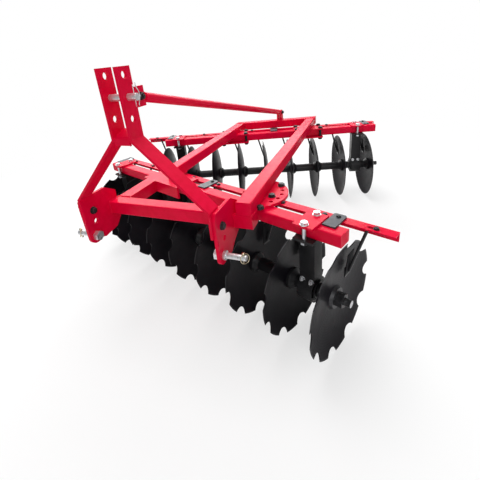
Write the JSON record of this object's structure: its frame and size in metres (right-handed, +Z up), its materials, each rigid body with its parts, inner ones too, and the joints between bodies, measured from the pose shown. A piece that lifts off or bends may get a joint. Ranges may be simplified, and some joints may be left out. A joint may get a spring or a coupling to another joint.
{
  "type": "mounted offset disc harrow",
  "caption": "Tractor-mounted offset disc harrow: a notched front gang and a plain rear gang of dished discs under a red welded frame with a three-point hitch mast.",
  "frame": {"origin": "on the ground, under the middle of the machine's bounding box", "axes": "+Z up, +Y backward away from the tractor, +X towards the side whose front gang end leads"},
  "size_m": [2.1202, 2.3679, 1.342],
  "materials": {
    "red_paint": "gloss",
    "black_paint": "gloss",
    "disc_black": "satin",
    "dark_steel": "satin",
    "zinc": "satin",
    "grey_coat": "matte"
  },
  "bodies": {
    "frame": {"mast_bar_left": "red_paint", "mast_bar_right": "red_paint", "mast_spacer": "red_paint", "top_link_pin": "zinc", "hitch_plate_left": "red_paint", "hitch_plate_right": "red_paint", "hitch_pin_left": "zinc", "hitch_pin_right": "zinc", "front_crossbar": "red_paint", "frame_stub": "red_paint", "side_tube_left": "red_paint", "side_tube_right": "red_paint", "rear_crossbar": "red_paint", "tie_rod": "red_paint", "tie_rod_lug_front": "red_paint", "tie_rod_lugs_rear": "red_paint", "adjuster_plate_left": "red_paint", "adjuster_plate_right": "red_paint", "rear_bracket_left": "red_paint", "rear_bracket_right": "red_paint", "front_beam": "red_paint", "rear_beam": "red_paint", "front_clamps": "red_paint", "rear_clamps": "red_paint", "front_hangers": "black_paint", "rear_hangers": "black_paint", "front_bearings": "black_paint", "rear_bearings": "black_paint", "front_scraper_bar": "red_paint", "rear_scraper_bar": "red_paint", "front_scraper_holders": "grey_coat", "rear_scraper_holders": "grey_coat", "front_scrapers": "black_paint", "rear_scrapers": "black_paint"},
    "front_gang": {"front_discs": "disc_black", "front_spools": "black_paint", "front_axle": "dark_steel"},
    "rear_gang": {"rear_discs": "disc_black", "rear_spools": "black_paint", "rear_axle": "dark_steel"}
  },
  "joints": [
    {"name": "front_gang_turn", "type": "hinge", "parent": "frame", "child": "front_gang", "pos_m": [0.82, -0.906, 0.28], "axis": [0.9336, -0.3584, 0], "continuous": true},
    {"name": "rear_gang_turn", "type": "hinge", "parent": "frame", "child": "rear_gang", "pos_m": [0.928, 0.934, 0.28], "axis": [0.9511, 0.309, 0], "continuous": true}
  ]
}
